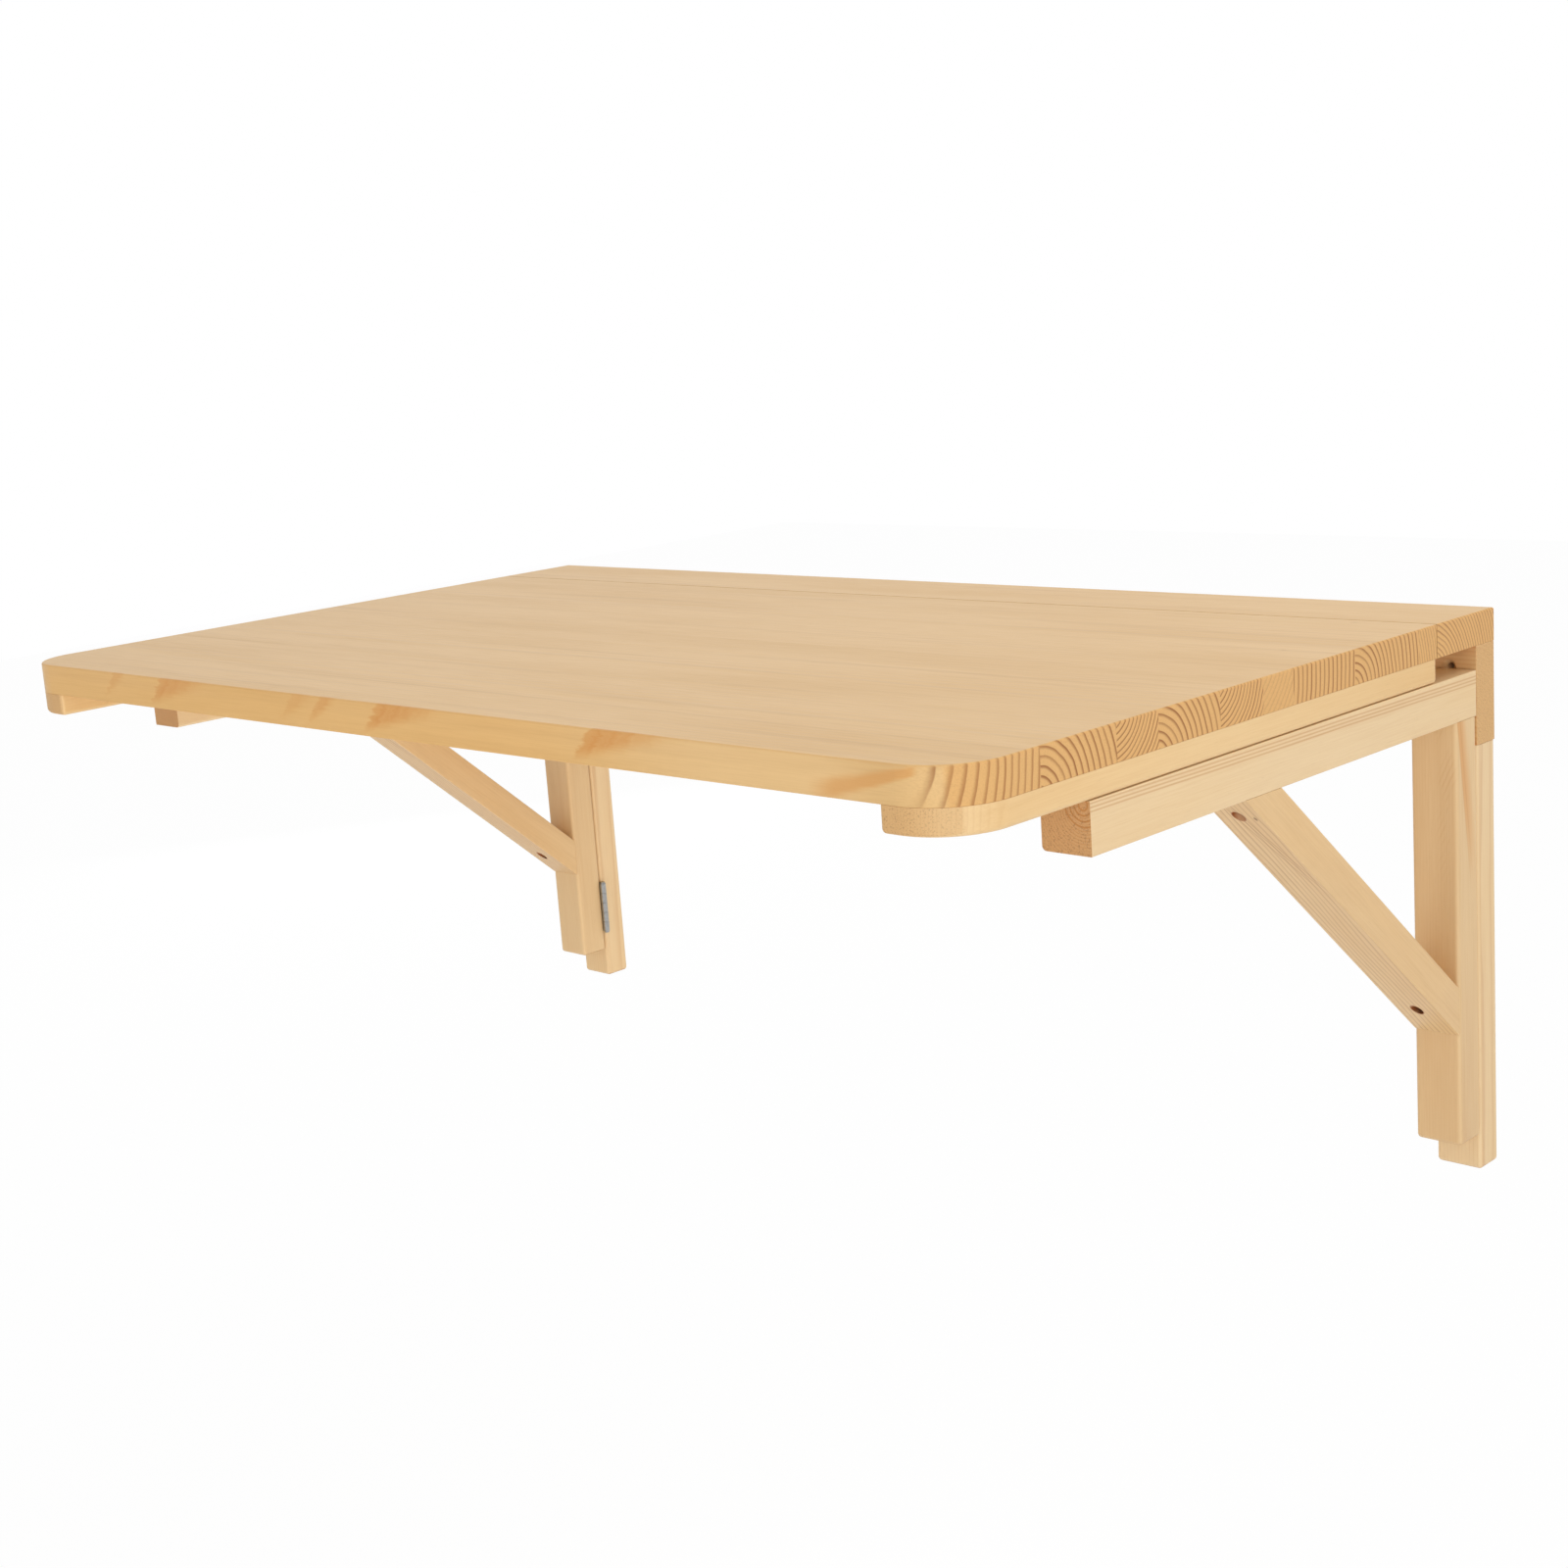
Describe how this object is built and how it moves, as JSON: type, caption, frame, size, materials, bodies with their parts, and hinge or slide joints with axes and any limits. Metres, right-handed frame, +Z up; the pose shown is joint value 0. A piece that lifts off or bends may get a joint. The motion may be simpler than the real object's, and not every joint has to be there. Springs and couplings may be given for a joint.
{
  "type": "wall mounted drop leaf table",
  "caption": "Pine table top on a wall rail, with a hinged drop leaf of edge glued staves held up by triangular brackets that swing out on wall posts",
  "frame": {"origin": "On the wall face of the rail, at mid width, on the row of wall screw holes in the rail. The upper face of the top lies 40 mm higher.", "axes": "+X along the wall to the right as seen from the room, +Y into the wall, +Z up"},
  "size_m": [1, 0.6, 0.417],
  "materials": {
    "top_pine": "planed and clear lacquered pine, satin",
    "frame_pine": "planed pine, clear lacquered, satin",
    "dowel_beech": "plain beech dowel",
    "hinge_steel": "zinc plated steel",
    "screw_steel": "yellow zinc plated steel"
  },
  "bodies": {
    "wall_frame": {"wall_rail": "frame_pine", "rear_strip": "top_pine", "wall_post_dowels": "dowel_beech", "rear_strip_dowels": "dowel_beech", "leaf_hinge_screws_strip": "screw_steel", "wall_post_left": "frame_pine", "fold_hinge_screws_wall_left": "screw_steel", "fold_hinge_upper_left_wall_plate": "hinge_steel", "fold_hinge_upper_left_pin": "hinge_steel", "fold_hinge_lower_left_wall_plate": "hinge_steel", "fold_hinge_lower_left_pin": "hinge_steel", "wall_post_right": "frame_pine", "fold_hinge_screws_wall_right": "screw_steel", "fold_hinge_upper_right_wall_plate": "hinge_steel", "fold_hinge_upper_right_pin": "hinge_steel", "fold_hinge_lower_right_wall_plate": "hinge_steel", "fold_hinge_lower_right_pin": "hinge_steel", "leaf_hinge_left_strip_plate": "hinge_steel", "leaf_hinge_left_pin": "hinge_steel", "leaf_hinge_middle_strip_plate": "hinge_steel", "leaf_hinge_middle_pin": "hinge_steel", "leaf_hinge_right_strip_plate": "hinge_steel", "leaf_hinge_right_pin": "hinge_steel"},
    "leaf": {"leaf_stave_1": "top_pine", "leaf_stave_2": "top_pine", "leaf_stave_3": "top_pine", "leaf_stave_4": "top_pine", "leaf_stave_5": "top_pine", "leaf_stave_6": "top_pine", "leaf_stave_7": "top_pine", "leaf_stave_8": "top_pine", "leaf_stave_9": "top_pine", "leaf_hinge_screws_leaf": "screw_steel", "leaf_batten_left": "frame_pine", "leaf_batten_screws_left": "screw_steel", "leaf_batten_right": "frame_pine", "leaf_batten_screws_right": "screw_steel", "leaf_hinge_left_leaf_plate": "hinge_steel", "leaf_hinge_middle_leaf_plate": "hinge_steel", "leaf_hinge_right_leaf_plate": "hinge_steel"},
    "bracket_left": {"bracket_post_left": "frame_pine", "bracket_arm_left": "frame_pine", "bracket_brace_left": "frame_pine", "bracket_dowels_left": "dowel_beech", "bracket_screws_left": "screw_steel", "fold_hinge_screws_bracket_left": "screw_steel", "fold_hinge_upper_left_bracket_plate": "hinge_steel", "fold_hinge_lower_left_bracket_plate": "hinge_steel"},
    "bracket_right": {"bracket_post_right": "frame_pine", "bracket_arm_right": "frame_pine", "bracket_brace_right": "frame_pine", "bracket_dowels_right": "dowel_beech", "bracket_screws_right": "screw_steel", "fold_hinge_screws_bracket_right": "screw_steel", "fold_hinge_upper_right_bracket_plate": "hinge_steel", "fold_hinge_lower_right_bracket_plate": "hinge_steel"}
  },
  "joints": [
    {"name": "leaf_hinge", "type": "hinge", "parent": "wall_frame", "child": "leaf", "pos_m": [0, -0.0816, 0.0128], "axis": [-1, 0, 0], "range_deg": [0, 2.2]},
    {"name": "bracket_left_fold", "type": "hinge", "parent": "wall_frame", "child": "bracket_left", "pos_m": [-0.4608, -0.0265, 0], "axis": [0, 0, 1], "range_deg": [0, 90]},
    {"name": "bracket_right_fold", "type": "hinge", "parent": "wall_frame", "child": "bracket_right", "pos_m": [0.4608, -0.0265, 0], "axis": [0, 0, -1], "range_deg": [0, 90]}
  ]
}
